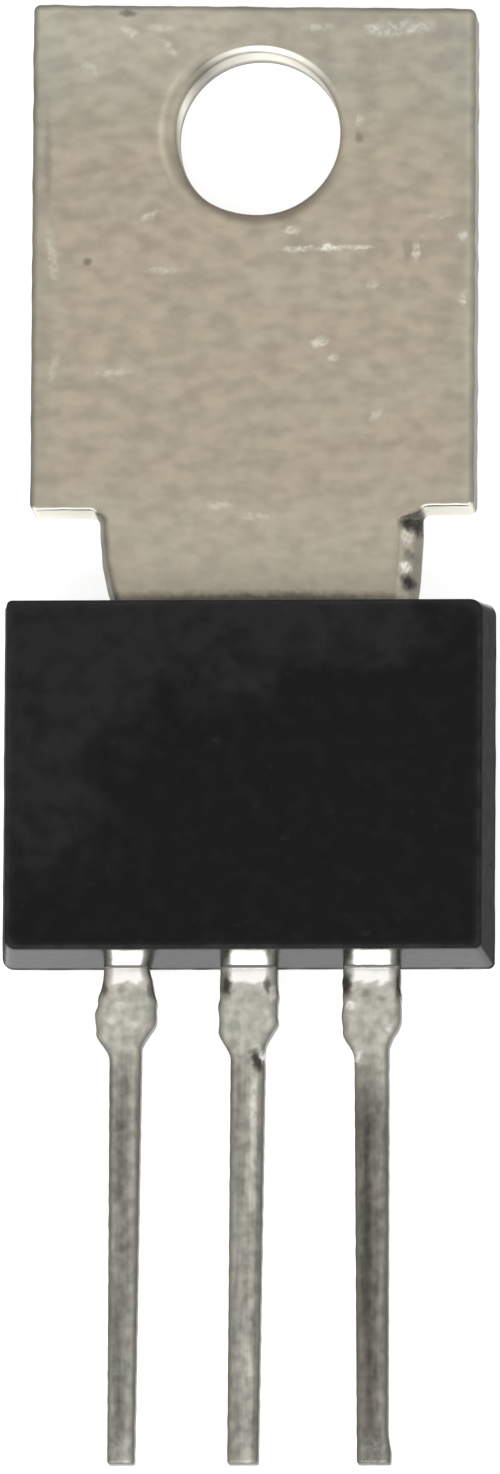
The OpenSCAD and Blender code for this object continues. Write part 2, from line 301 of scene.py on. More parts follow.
class Graph:
    """Node tree of a material or the world, with short calls for the nodes that they share."""

    def __init__(self, owner: Owner, shader: str = "BSDF_PRINCIPLED") -> None:
        """Takes up the node tree of its owner.

        Args:
            owner: The new material or world.
            shader: Type of the shader that it has from the start.
        """
        owner.use_nodes = True
        self.owner = owner
        self.nodes = owner.node_tree.nodes
        self.links = owner.node_tree.links
        self.shader = next(n for n in self.nodes if n.type == shader)

    def join(self, value: object, socket: Socket) -> None:
        """Links an output to a socket, or sets the socket to a plain value.

        Args:
            value: The output, or a number, vector or colour.
            socket: The socket.
        """
        if isinstance(value, Socket):
            self.links.new(value, socket)
        elif socket.type == "RGBA":
            socket.default_value = (*value, 1.0)
        else:
            socket.default_value = value

    def add(self, kind: str, output: str | int, inputs: dict[str | int, object], **settings: str) -> Socket:
        """Adds a node.

        Args:
            kind: Its type, without the prefix that every shader node has.
            output: Name or number of the output that is wanted.
            inputs: What its inputs are joined to, by name or number.
            **settings: Its own settings.

        Returns:
            The wanted output.
        """
        node = self.nodes.new("ShaderNode" + kind)
        for name, setting in settings.items():
            setattr(node, name, setting)
        for key, value in inputs.items():
            self.join(value, node.inputs[key])
        return node.outputs[output]

    def vector(self, operation: str, a: object, b: object) -> Socket:
        """Vector sum, product or the like of two inputs."""
        return self.add("VectorMath", "Vector", {0: a, 1: b}, operation=operation)

    def math(self, operation: str, a: object, b: object) -> Socket:
        """Sum, product or the like of two numbers."""
        return self.add("Math", "Value", {0: a, 1: b}, operation=operation)

    def times(self, a: object, b: object) -> Socket:
        """Product of two numbers."""
        return self.math("MULTIPLY", a, b)

    def plus(self, a: object, b: object) -> Socket:
        """Sum of two numbers."""
        return self.math("ADD", a, b)

    def spread(self, value: object, low: float, high: float, start: float = 0.0, end: float = 1.0) -> Socket:
        """Number carried smoothly from the range low..high to the range start..end."""
        inputs = {"Value": value, "From Min": low, "From Max": high, "To Min": start, "To Max": end}
        return self.add("MapRange", "Result", inputs, interpolation_type="SMOOTHSTEP")

    def attribute(self, name: str) -> Socket:
        """Value that the mesh carries under a name."""
        return self.add("Attribute", "Fac", {}, attribute_name=name)

    def grey(self, value: object) -> Socket:
        """Grey colour of a number."""
        return self.add("CombineColor", "Color", {"Red": value, "Green": value, "Blue": value})

    def mix(self, factor: object, a: object, b: object, kind: str = "MIX") -> Socket:
        """Colour mixed from two colours."""
        inputs = {"Factor": factor, MIX_COLOUR_INPUTS[0]: a, MIX_COLOUR_INPUTS[1]: b}
        return self.add("Mix", MIX_COLOUR_OUTPUT, inputs, data_type="RGBA", blend_type=kind)

    @cached_property
    def place(self) -> Socket:
        """Position on the piece, in millimetres."""
        return self.vector("MULTIPLY", self.add("TexCoord", "Object", {}), (1.0 / MM,) * 3)

    def above(self, level: float) -> Socket:
        """0 below a height in millimetres and 1 from a little above it."""
        height = self.add("SeparateXYZ", "Z", {"Vector": self.place})
        return self.spread(height, level, level + 0.15)

    def noise(self, per_mm: Triple, detail: float) -> Socket:
        """Noise between 0 and 1 with the given number of grains to a millimetre on each axis."""
        place = self.vector("MULTIPLY", self.place, per_mm)
        return self.add("TexNoise", "Fac", {"Vector": place, "Scale": 1.0, "Detail": detail})

    @cached_property
    def shaken(self) -> Socket:
        """Position in millimetres, shaken a little so that marks get uneven rims.

        Returns:
            The shaken position.
        """
        noise = self.add("TexNoise", "Color", {"Vector": self.place, "Scale": 6.0})
        centred = self.vector("SUBTRACT", noise, (0.5, 0.5, 0.5))
        return self.vector("ADD", self.place, self.vector("MULTIPLY", centred, (0.16, 0.16, 0.0)))

    def marked(self, colour: object, marks: Sequence[Mark], share: object, tint: Triple) -> Socket:
        """Colour with marks over it, each a soft ellipse on the XY plane.

        Args:
            colour: The colour under the marks.
            marks: The marks.
            share: How much of each mark's strength shows.
            tint: The colour that they turn it to.

        Returns:
            The colour with its marks.
        """
        for mark in marks:
            ellipse = self.add("Mapping", "Vector", {
                "Vector": self.shaken,
                "Location": (*mark.centre, 0.0),
                "Rotation": (0.0, 0.0, math.radians(mark.turn)),
                "Scale": (*mark.size, 1.0e3),
            }, vector_type="TEXTURE")
            ball = self.add("TexGradient", "Fac", {"Vector": ellipse}, gradient_type="SPHERICAL")
            factor = self.times(self.spread(ball, 0.0, 0.75), mark.strength)
            colour = self.mix(self.times(factor, share), colour, tint)
        return colour

    def seen_directly(self) -> Socket:
        """Tells what sees a surface.

        Returns:
            1 for rays from the camera, from gloss and through glass, and 0 for the rest.
        """
        rays = self.nodes.new("ShaderNodeLightPath").outputs
        seen = self.math("MAXIMUM", rays["Is Camera Ray"], rays["Is Glossy Ray"])
        return self.math("MAXIMUM", seen, rays["Is Transmission Ray"])

    def bump(self, height: object, depth: float) -> None:
        """Relief of the given depth on the shader's normal."""
        normal = self.add("Bump", "Normal", {"Height": height, "Strength": 1.0, "Distance": depth})
        self.join(normal, self.shader.inputs["Normal"])

    def finish(self, **sockets: object) -> Owner:
        """Joins values to the shader's sockets.

        Args:
            **sockets: Values by socket name, with underscores for its spaces.

        Returns:
            The finished material or world.
        """
        for name, value in sockets.items():
            self.join(value, self.shader.inputs[name.replace("_", " ")])
        return self.owner


@dataclass(frozen=True)
class PlatedFinish:
    """Dull plating on stamped metal: rolling grain, soft stains, handling marks and dark sheared edges.

    The mesh gives "edge", 1 on sheared walls and 0 on the faces, whose dark colour is partly the sheared
    metal's and partly painted shade, "shade", which multiplies the colour and carries painted light and
    shade as well as tone, "clean", 1 where a painted highlight turns the colour to the bright colour,
    "gloss", 1 where the metal is smoothest, "streak", 1 where the grain shows most, and "cool", 1 where
    the colour is greenest. The marks lie above a height in millimetres, so that they miss the back. Noise
    is given by its grains to a millimetre on each axis.
    """

    name: str
    base: Triple
    warm: Triple
    green: Triple
    edge: Triple
    roughness: float
    grain: Triple
    bright: tuple[Mark, ...] = ()
    dark: tuple[Mark, ...] = ()
    wear_and_highlight_colour: Triple = (0.9, 0.88, 0.78)
    dark_colour: Triple = (0.015, 0.0135, 0.008)
    stain: Triple = (0.55, 0.8, 0.8)
    tarnish: Triple = (0.5, 1.1, 0.7)
    wear: Triple = (9.0, 9.0, 9.0)
    speckle: Triple = (1.9, 3.1, 2.5)
    streaks: float = 0.07
    mottle: float = 0.098
    polished: float = 0.35
    relief: float = 0.003 * MM
    marked_above: float = 0.05

    def build(self) -> bpy.types.Material:
        """Makes the material.

        Returns:
            The new material.
        """
        g = Graph(bpy.data.materials.new(self.name))
        front = g.above(self.marked_above)
        edge, clean, gloss = g.attribute("edge"), g.attribute("clean"), g.attribute("gloss")
        colour = g.mix(g.spread(g.noise(self.stain, 2.0), 0.35, 0.7, 0.1, 0.9), self.base, self.warm)
        colour = g.mix(g.spread(g.noise(self.tarnish, 2.0), 0.45, 0.7, 0.0, 0.36), colour, self.green)
        colour = g.mix(g.attribute("cool"), colour, self.green)
        grain = g.noise(self.grain, 3.0)
        speckle = g.noise(self.speckle, 1.2)
        drawn = g.times(g.spread(grain, 0.25, 0.75, -self.streaks, self.streaks), g.attribute("streak"))
        tone = g.plus(drawn, g.spread(speckle, 0.25, 0.75, 1.0 - self.mottle, 1.0 + self.mottle))
        tone = g.times(tone, g.attribute("shade"))
        colour = g.mix(1.0, colour, g.grey(tone), "MULTIPLY")
        colour = g.mix(edge, colour, self.edge)
        worn = g.times(g.spread(g.noise(self.wear, 2.0), 0.35, 0.6, 0.25, 1.0), front)
        colour = g.marked(colour, self.bright, worn, self.wear_and_highlight_colour)
        # Painted highlight: the colour turns to the bright colour where the mesh asks for it.
        colour = g.mix(clean, colour, self.wear_and_highlight_colour)
        colour = g.marked(colour, self.dark, front, self.dark_colour)
        rough = g.spread(speckle, 0.2, 0.8, self.roughness - 0.07, self.roughness + 0.09)
        rough = g.plus(rough, g.times(edge, 0.12))
        rough = g.times(rough, g.spread(gloss, 0.0, 1.0, 1.0, self.polished))
        relief = g.plus(grain, g.times(speckle, 0.5))
        g.bump(g.times(relief, g.spread(gloss, 0.0, 1.0, 1.0, 0.1)), self.relief)
        return g.finish(Base_Color=colour, Metallic=1.0, Roughness=rough)


@dataclass(frozen=True)
class EpoxyFinish:
    """Black moulding resin: matt front, glossier drafted sides, fine pitting and faint dust.

    The mesh gives "polish", 1 on the smooth end walls, 0 on the faces and -1 on the coarse side walls,
    "rim", 1 along worn edges, and "haze", 1 where handling has dulled the face. Noise is given by its
    grains to a millimetre on each axis.
    """

    name: str
    base: Triple = (0.0085, 0.0085, 0.0085)
    haze: Triple = (0.0215, 0.0215, 0.0215)
    worn: Triple = (0.035, 0.035, 0.034)
    cloud: Triple = (0.35, 0.45, 0.35)
    mottle: Triple = (2.2, 2.2, 2.2)
    dust: Triple = (3.0, 3.5, 3.0)
    pits: Triple = (9.0, 9.0, 9.0)
    matt: float = 0.46
    smooth: float = 0.14
    specular: float = 0.07
    relief: float = 0.0025 * MM

    def build(self) -> bpy.types.Material:
        """Makes the material.

        Returns:
            The new material.
        """
        g = Graph(bpy.data.materials.new(self.name))
        haze, dust = g.attribute("haze"), g.noise(self.dust, 5.0)
        dull = g.times(haze, g.spread(g.noise(self.cloud, 3.0), 0.25, 0.6, 0.6, 1.0))
        mottle = g.spread(g.noise(self.mottle, 4.0), 0.3, 0.7, -0.38, 0.42)
        mottle = g.times(mottle, g.spread(haze, 0.0, 1.0, 0.45, 1.0))
        colour = g.mix(g.plus(dull, mottle), self.base, self.haze)
        colour = g.mix(g.spread(dust, 0.62, 0.8, 0.0, 0.35), colour, self.worn)
        rim = g.times(g.attribute("rim"), g.spread(dust, 0.3, 0.7, 0.3, 1.0))
        colour = g.mix(rim, colour, self.worn)
        rough = g.plus(self.matt, g.times(g.attribute("polish"), self.smooth - self.matt))
        rough = g.plus(rough, g.spread(dust, 0.3, 0.7, -0.03, 0.05))
        g.bump(g.plus(g.noise(self.pits, 4.0), g.times(dust, 0.6)), self.relief)
        return g.finish(Base_Color=colour, Roughness=rough, Specular_IOR_Level=self.specular)


@dataclass(frozen=True)
class InnerFinish:
    """Finish of a small piece inside the moulding: two tones of one metal or crystal."""

    name: str
    light: Triple
    deep: Triple
    roughness: float
    metallic: float
    grain: Triple = (12.0, 12.0, 12.0)
    relief: float = 0.003 * MM

    def build(self) -> bpy.types.Material:
        """Makes the material.

        Returns:
            The new material.
        """
        g = Graph(bpy.data.materials.new(self.name))
        grain = g.noise(self.grain, 4.0)
        colour = g.mix(g.spread(grain, 0.3, 0.7), self.deep, self.light)
        rough = g.spread(grain, 0.2, 0.8, self.roughness, self.roughness + 0.12)
        g.bump(grain, self.relief)
        return g.finish(Base_Color=colour, Metallic=self.metallic, Roughness=rough)


# Bare metal on the tab: rubs at its free end, scratches below the hole, nicks in its edges and neck.
TAB_BRIGHT = (
    Mark((-2.7, 2.15), (0.28, 0.14), 0.34, -25.0),
    Mark((-1.85, 1.8), (0.3, 0.14), 0.3, -50.0),
    Mark((-2.1, 2.25), (0.5, 0.12), 0.19),
    Mark((1.2, 2.25), (0.45, 0.14), 0.26),
    Mark((2.35, 2.2), (0.3, 0.12), 0.3),
    Mark((3.0, 2.2), (0.9, 0.24), 0.38, 4.0),
    Mark((-2.3, -1.75), (0.3, 0.12), 0.34, 30.0),
    Mark((0.72, -2.05), (0.22, 0.12), 0.45, 10.0),
    Mark((0.95, -2.45), (0.6, 0.08), 0.52),
    Mark((1.5, -2.43), (0.3, 0.11), 0.68),
    Mark((2.05, -2.42), (0.55, 0.07), 0.38),
    Mark((3.3, -2.5), (0.12, 0.3), 0.45),
    Mark((2.4, -3.2), (0.18, 0.12), 0.3, 30.0),
    Mark((1.3, -4.42), (0.26, 0.16), 0.49, 20.0),
    Mark((1.6, -4.75), (0.18, 0.12), 0.34),
    Mark((2.5, -5.95), (0.22, 0.12), 0.3, 45.0),
    Mark((-2.0, -2.9), (0.5, 0.09), 0.26),
    Mark((-3.0, -5.05), (0.5, 0.1), 0.22, 5.0),
    Mark((-0.8, -7.85), (0.4, 0.12), 0.26),
    Mark((0.0, -8.1), (0.5, 0.12), 0.22),
    Mark((2.1, 0.25), (0.12, 0.18), 0.3),
    Mark((-4.3, -2.6), (0.16, 0.9), 0.19, 8.0),
    Mark((-4.25, -4.9), (0.14, 0.5), 0.15, -10.0),
    Mark((4.29, -3.52), (0.1, 0.24), 0.5),
    Mark((4.29, -2.19), (0.12, 0.16), 0.35),
    Mark((3.8, -1.77), (0.4, 0.08), 0.22),
    Mark((-3.6, 1.4), (0.5, 0.18), 0.19, -20.0),
    Mark((3.12, -8.48), (0.16, 0.26), 0.45),
    Mark((3.1, -9.13), (0.15, 0.18), 1.0),
)

# Dark places on the tab: painted shade along the body where the neck meets it, spots round the hole, and
# dark patches at the neck's right corner and in its bevel.
TAB_DARK = (
    # Painted shade: the neck is darkened along the body, where the body shades it.
    Mark((0.0, -9.88), (6.0, 0.3), 0.76),
    Mark((2.1, -0.1), (0.12, 0.18), 0.35),
    Mark((-3.55, -2.7), (0.14, 0.14), 0.45),
    Mark((3.12, -2.45), (0.14, 0.34), 0.2),
    Mark((3.19, -8.2), (0.34, 0.2), 1.0, 28.0),
    Mark((3.44, -8.08), (0.26, 0.17), 1.0, 25.0),
    Mark((3.34, -8.3), (0.1, 0.2), 0.8),
    Mark((3.16, -8.85), (0.14, 0.2), 0.45),
    Mark((3.15, -9.42), (0.2, 0.26), 1.0),
    Mark((-2.75, 2.55), (0.25, 0.12), 0.5),
    Mark((-4.4, -0.5), (0.12, 1.4), 0.2),
)

# Bright spots on the leads' pads, and a faint shine at the outer tips.
LEAD_BRIGHT = (
    Mark((2.1, -18.56), (0.14, 0.14), 0.7),
    Mark((0.33, -19.62), (0.12, 0.16), 0.9),
    Mark((2.9, -19.02), (0.13, 0.13), 0.5),
    Mark((2.29, -19.62), (0.16, 0.22), 0.55),
    Mark((-2.67, -18.53), (0.2, 0.14), 0.3),
    Mark((-2.83, -18.88), (0.14, 0.14), 0.3),
    Mark((-2.35, -18.95), (0.22, 0.12), 0.3),
    Mark((0.5, -18.3), (0.1, 0.2), 0.35),
    Mark((0.1, -20.6), (0.1, 0.9), 0.3),
    Mark((-2.6, -27.8), (0.4, 0.5), 0.12),
    Mark((2.62, -27.8), (0.4, 0.5), 0.1),
)

# Dark patches in the corners of the roots and pads, and dull patches down the stems.
LEAD_DARK = (
    Mark((-0.46, -18.12), (0.15, 0.38), 0.9),
    Mark((0.39, -18.12), (0.1, 0.26), 0.75),
    Mark((2.03, -18.13), (0.16, 0.36), 0.9),
    Mark((3.1, -18.13), (0.1, 0.42), 0.8),
    Mark((-2.98, -18.2), (0.1, 0.24), 0.6),
    Mark((-2.03, -18.25), (0.1, 0.26), 0.5),
    Mark((-2.6, -18.2), (0.16, 0.1), 0.25),
    Mark((2.4, -18.3), (0.16, 0.1), 0.3, 20.0),
    Mark((2.75, -18.4), (0.14, 0.1), 0.3, -20.0),
    Mark((0.18, -19.7), (0.15, 0.3), 0.9, 12.0),
    Mark((0.08, -19.5), (0.14, 0.1), 0.4),
    Mark((-2.62, -21.5), (0.16, 1.6), 0.15),
    Mark((-2.66, -21.05), (0.2, 0.14), 0.3),
    Mark((-2.68, -22.45), (0.17, 0.34), 0.3),
    Mark((-2.62, -23.6), (0.2, 0.16), 0.3),
    Mark((-2.64, -24.85), (0.3, 0.8), 0.17),
    Mark((-0.1, -22.2), (0.12, 0.4), 0.25),
    Mark((0.0, -23.3), (0.16, 0.16), 0.25),
    Mark((0.1, -25.2), (0.14, 0.3), 0.25),
    Mark((2.62, -21.0), (0.16, 0.5), 0.25),
    Mark((2.7, -26.2), (0.16, 0.4), 0.25),
    Mark((2.45, -24.0), (0.16, 2.5), 0.3),
)

TAB_FINISH = PlatedFinish(
    name="dull_tab_plating",
    base=(0.4, 0.344, 0.256),
    warm=(0.415, 0.337, 0.264),
    green=(0.375, 0.356, 0.29),
    edge=(0.15, 0.145, 0.12),
    roughness=0.42,
    grain=(4.0, 5.0, 5.0),
    streaks=0.045,
    bright=TAB_BRIGHT,
    dark=TAB_DARK,
)

LEAD_FINISH = PlatedFinish(
    name="tinned_lead_metal",
    base=(0.38, 0.38, 0.33),
    warm=(0.4, 0.372, 0.325),
    green=(0.345, 0.365, 0.3),
    edge=(0.12, 0.12, 0.1),
    roughness=0.33,
    grain=(6.2, 0.6, 6.2),
    speckle=(5.0, 4.4, 5.0),
    streaks=0.26,
    mottle=0.17,
    bright=LEAD_BRIGHT,
    dark=LEAD_DARK,
    wear_and_highlight_colour=(0.98, 0.97, 0.93),
    marked_above=2.34,
)

INNER_FINISHES = {
    "silicon_die": InnerFinish("silicon_crystal", (0.34, 0.36, 0.42), (0.2, 0.22, 0.28), 0.12, 0.6),
    "die_solder": InnerFinish("die_solder_metal", (0.62, 0.62, 0.64), (0.46, 0.46, 0.48), 0.4, 1.0),
    "emitter_bond_wire": InnerFinish("bond_wire_metal", (0.86, 0.86, 0.88), (0.72, 0.72, 0.74), 0.28, 1.0),
}


# ---------------------------------------------------------------- stamped frame


@dataclass
class TabPlate:
    """Thick tab and neck, with the rolled mounting hole and coined neck edges.

    The neck's waist and bevel are given for its left and its right side. Places round the hole are an
    angle from +X and a spread, both in degrees: "dent" is where the punch left the hole out of round,
    "lip" where it dragged metal up, "lip_shine" where a painted highlight lies on that lip, "scar" a
    patch of painted shade on the rim, and "bare" the places where the wall has a painted reflection of the
    white floor.
    """

    width: float = 9.26 * MM
    thickness: float = 1.27 * MM
    offset: float = -0.09 * MM
    free_end: float = 2.68 * MM
    shoulder: float = 7.92 * MM
    end_skew: float = math.radians(0.8)
    shoulder_skew: float = math.radians(-0.4)
    corner: float = 0.15 * MM
    front_roll: float = 0.05 * MM
    back_edge: float = 0.04 * MM
    hole_radius: float = 1.7 * MM
    hole_roll: float = 0.15 * MM
    dent_depth: float = 0.07 * MM
    lip_height: float = 0.022 * MM
    lip_reach: float = 0.27 * MM
    lip_width: float = 0.06 * MM
    neck_width: float = 6.76 * MM
    neck_offset: float = 0.05 * MM
    neck_corner: float = 0.15 * MM
    neck_end: float = 10.5 * MM
    hidden_corner: float = 0.06 * MM
    body_line: float = 10.14 * MM
    waist: tuple[float, float] = (0.36 * MM, 0.17 * MM)
    bevel: tuple[float, float] = (0.14 * MM, 0.42 * MM)
    bevel_start: float = 0.25 * MM
    bevel_run_in: float = 0.12 * MM
    body_blend: float = 0.25 * MM
    coarse_from: float = 0.3 * MM
    coarse: Waves = Waves(8, 0.28 * MM, 0.03 * MM)
    ragged: Waves = Waves(3, 0.7 * MM, 0.006 * MM)
    uneven_hole: Waves = Waves(21, 2.5 * MM, 0.003 * MM)
    patchy_dirt: Waves = Waves(5, 1.1 * MM, 0.125)
    dent: Bearing = (228.0, 22.0)
    lip: Bearing = (158.0, 34.0)
    lip_shine: Bearing = (168.0, 42.0)
    rim_shade_patch: Bearing = (133.0, 11.0)
    wall_highlight: tuple[Bearing, Bearing] = ((82.0, 34.0), (160.0, 13.0))

    def sheared(self, x: float, y: float, skew: float) -> tuple[float, float]:
        """Corner point at x on a line that crosses the Y axis at y and falls to the right by the skew."""
        return x, y - x * math.tan(skew)

    def outline(self) -> np.ndarray:
        """Outline of the back face.

        Formula: a rounded polygon, whose points below the shoulders are drawn in along arcs, so that
        each side of the neck leaves the shoulder upright and has come in by its waist at the body.

        Returns:
            Outline points, anticlockwise.
        """
        left, right = self.offset - self.width / 2, self.offset + self.width / 2
        inner_left = self.neck_offset - self.neck_width / 2
        inner_right = self.neck_offset + self.neck_width / 2
        shoulder = (-self.shoulder, self.shoulder_skew)
        corners = np.array([
            (inner_left, -self.neck_end),
            (inner_right, -self.neck_end),
            self.sheared(inner_right, *shoulder),
            self.sheared(right, *shoulder),
            self.sheared(right, self.free_end, self.end_skew),
            self.sheared(left, self.free_end, self.end_skew),
            self.sheared(left, *shoulder),
            self.sheared(inner_left, *shoulder),
        ])
        radii = [self.hidden_corner] * 2 + [self.neck_corner] + [self.corner] * 4 + [self.neck_corner]
        points = filleted_outline(corners, radii, [56, 44, 16, 130, 116, 130, 18, 44])
        below = np.clip(-self.shoulder - self.neck_corner - points[:, 1], 0.0, None)
        run = self.body_line - self.shoulder - self.neck_corner
        on_left = points[:, 0] < 0.0
        for waist, edge, chosen in zip(self.waist, (inner_left, inner_right), (on_left, ~on_left)):
            radius = (run * run + waist * waist) / (2.0 * waist)
            drawn = radius - np.sqrt(radius * radius - below * below)
            points[chosen, 0] *= 1.0 - drawn[chosen] / abs(edge)
        return points

    def wall_profile(self) -> np.ndarray:
        """Section of the outer wall: up from the back's rounded edge, over the roll and onto the front.

        Returns:
            Rows of (inset, height, darkness). The darkness marks the sheared wall, and over the front roll
            and a thin band of the front it is painted shade.
        """
        low, roll, top = self.back_edge, self.front_roll, self.thickness
        return np.concatenate([
            table(low + 0.03 * MM, 0.0, 0.0),
            table(low * (1.0 - SINE), low * RISE, SINE),
            table(0.0, np.linspace(low, top - roll, 9)[1:-1], 1.0),
            table(roll * RISE, top - roll + roll * SINE, 1.0 - 0.25 * SINE),
            table(roll + np.array([0.02, 0.05, 0.09]) * MM, top, [0.55, 0.27, 0.0]),
        ])

    def hole_profile(self) -> np.ndarray:
        """Section of the hole: over its rolled rim, down its wall and round its back edge.

        Returns:
            Rows of (radius, height).
        """
        low, roll, top = self.back_edge, self.hole_roll, self.thickness
        return np.concatenate([
            table(self.hole_radius + roll * (1.0 - SINE), top - roll * RISE),
            table(self.hole_radius, np.linspace(top - roll, low, 8)[1:]),
            table(self.hole_radius + low * RISE, low * (1.0 - SINE))[1:],
        ])

    def front_face(self, rim: np.ndarray, edge: np.ndarray) -> np.ndarray:
        """Front of the plate.

        Formula: straight lines from the outer rim to the hole's edge, divided evenly but for close
        steps beside the hole, where the lip stands up.

        Args:
            rim: (x, y) of the outer rim at each outline point.
            edge: (x, y) of the hole's edge on the same ray.

        Returns:
            Points, as rings by columns by three.
        """
        close = np.array([0.015, 0.04, 0.07, 0.1, 0.13, 0.16, 0.2, 0.24, 0.29, 0.35, 0.42]) * MM
        near = close / np.linalg.norm(rim - edge, axis=1)[:, None]
        far = near[:, -1:] + (1.0 - near[:, -1:]) * np.linspace(0.0, 1.0, 20)[1:-1]
        share = np.concatenate([near, far], 1)[:, ::-1, None]
        plan = edge[:, None] + (rim - edge)[:, None] * share
        ring = bell(np.linalg.norm(plan, axis=-1), self.hole_radius + self.lip_reach, self.lip_width)
        return raised(plan, self.thickness + self.lip_height * ring * bell(bearing(plan), *self.lip))

    def surface(self) -> Surface:
        """Closed surface of the plate with its hole.

        Formula: each ring is the plate's section on a half-plane from the hole to one point of the
        outline. It goes up the outer wall, across the front, over the hole's rim, down its wall and
        back along the back face. The coined bevel moves the outer wall inwards in proportion to the
        height above its start, and is coarse where it is wide.

        Returns:
            The surface, closed both ways.
        """
        outline = self.outline()
        x, y = outline.T
        in_body = ease((-self.body_line - y) / self.body_blend)[:, None]
        sideways = table(x / np.abs(x[y < -self.body_line]).max(), 0.0)
        normal = outward_normals(outline)
        normal = normal + (sideways - normal) * in_body
        neck = ease((-self.shoulder - self.neck_corner * 0.6 - y) / self.bevel_run_in)
        bevel = (neck * np.where(x > 0.0, self.bevel[1], self.bevel[0]))[:, None]
        coined = bevel > self.coarse_from
        inset, level, dark = self.wall_profile().T
        climb = np.clip((level - self.bevel_start) / (self.thickness - self.bevel_start), 0.0, 1.0)
        ragged = (1.0 - in_body) * self.ragged.at(outline)[:, None]
        coarse = self.coarse.at(np.stack(np.broadcast_arrays(y[:, None], level), -1))
        depth = inset + bevel * climb - ragged
        depth += coarse * coined * np.sin(np.pi * climb) ** 0.5
        outer = raised(outline[:, None] - normal[:, None] * depth[..., None], level)

        rim = outer[:, -1, :2]
        ray, angle = unit(rim), bearing(rim)
        uneven = self.uneven_hole.at(self.hole_radius * ray) + self.dent_depth * bell(angle, *self.dent)
        uneven = uneven[:, None]
        front = self.front_face(rim, (self.hole_radius + self.hole_roll + uneven) * ray)
        radius, height = self.hole_profile().T
        wall = raised(ray[:, None] * (radius + uneven)[..., None], height)
        across = np.linspace(0.0, 1.0, 10)[1:-1, None]
        back = wall[:, -1:] + (outer[:, :1] - wall[:, -1:]) * across
        rings = np.concatenate([outer, front, wall, back], 1)

        edge, clean = np.zeros((2, *rings.shape[:2]))
        side = slice(0, len(level))
        edge[:, side] = dark * self.edge_dirt_and_shade(outline, normal)
        edge[:, side] *= 1.0 - 0.9 * coined * ease((climb - 0.35) / 0.12)
        # Painted highlight: where the sheared wall faces the leads, and so the lamp and the floor, it is
        # turned to the bright colour.
        faces_leads = ease((-normal[:, 1:] - 0.5) / 0.4) * (1.0 - in_body)
        clean[:, side] = ease((dark - 0.5) / 0.3) * faces_leads
        first = len(level) + front.shape[1]
        bore = slice(first, first + len(height))
        low_rim = ease((0.5 * MM - height) / (0.25 * MM))
        # Painted reflection: the upper and left parts of the hole's wall are turned to the bright colour, as
        # if they mirrored the white floor.
        clean[:, bore] = bell(angle, *self.wall_highlight[0])[:, None]
        clean[:, first + ARC_STEPS - 2:bore.stop] += 0.85 * bell(angle, *self.wall_highlight[1])[:, None]
        clean[:, bore] *= 1.0 - low_rim
        edge[:, bore] = 0.5 * low_rim
        shade, cool = self.shade(rings)
        values = plated(edge.shape, edge=edge, shade=shade, clean=clean, cool=cool)
        return Surface(rings, closed=True, values=values)

    def edge_dirt_and_shade(self, outline: np.ndarray, normal: np.ndarray) -> np.ndarray:
        """How dark the sheared wall is: patchy dirt, with painted shade that is least where the wall faces
        the leads and less on the right.

        Args:
            outline: Outline points.
            normal: Their outward directions.

        Returns:
            Darkness at each outline point, as one column.
        """
        dirt = 0.875 + self.patchy_dirt.at(outline)
        leadward = ease((-normal[:, 1] - 0.3) / 0.5)
        right = ease((normal[:, 0] - 0.3) / 0.5)
        return (dirt * (1.0 - 0.85 * leadward) * (1.0 - 0.4 * right))[:, None]

    def shade(self, rings: np.ndarray) -> tuple[np.ndarray, np.ndarray]:
        """Multiplier of the colour, which carries painted light and shade, and its greenness: both vary
        round the hole and towards the sides.

        Args:
            rings: The plate's points.

        Returns:
            The multiplier and the greenness from 0 to 1. The multiplier holds painted shade on the hole's
            rim, painted highlights on the lip and along the right edge, painted light on the neck, and is
            lighter towards the upper left.
        """
        x, y = rings[..., 0], rings[..., 1]
        sides = ease((np.abs(x - self.offset) - 3.9 * MM) / (0.7 * MM))
        # Painted highlight: a light line just inside the right edge.
        painted_edge_highlight = bell(x, self.offset + self.width / 2 - 0.16 * MM, 0.05 * MM)
        corner = ease((y - 0.5 * MM) / (2.0 * MM)) * ease((1.0 * MM - x) / (3.0 * MM))
        # Painted light: the neck is lightened to offset the shade that the body casts on it.
        neck = ease((-7.0 * MM - y) / (1.5 * MM))
        radius, angle = np.hypot(x, y), bearing(rings)
        rim = ease((self.hole_radius + 0.3 * MM - radius) / (0.18 * MM))
        crest = self.hole_radius + self.lip_reach + 0.07 * MM
        # Painted highlight where the dragged lip catches the light.
        shine = bell(angle, *self.lip_shine) * bell(radius, crest, self.lip_width)
        # Painted shade on the rolled rim, strongest below the hole.
        painted_rim_shade = ease((95.0 - np.abs(angle - 262.0)) / 60.0)
        tone = 1.0 - 0.05 * sides + 0.15 * corner + 0.08 * neck + 0.38 * shine + 0.12 * painted_edge_highlight
        # The rim darkens by painted shade, below the hole and in a patch at its upper left.
        tone *= (1.0 - 0.4 * painted_rim_shade * rim) * (1.0 - 0.5 * bell(angle, *self.rim_shade_patch) * rim)
        off_back = ease((rings[..., 2] - 0.1 * MM) / (0.3 * MM))
        cool = 0.25 + 0.5 * sides + 0.6 * ease((y + 1.0 * MM) / (2.5 * MM)) + 0.3 * neck
        return 1.0 + (tone - 1.0) * off_back, np.clip(cool, 0.0, 1.0)


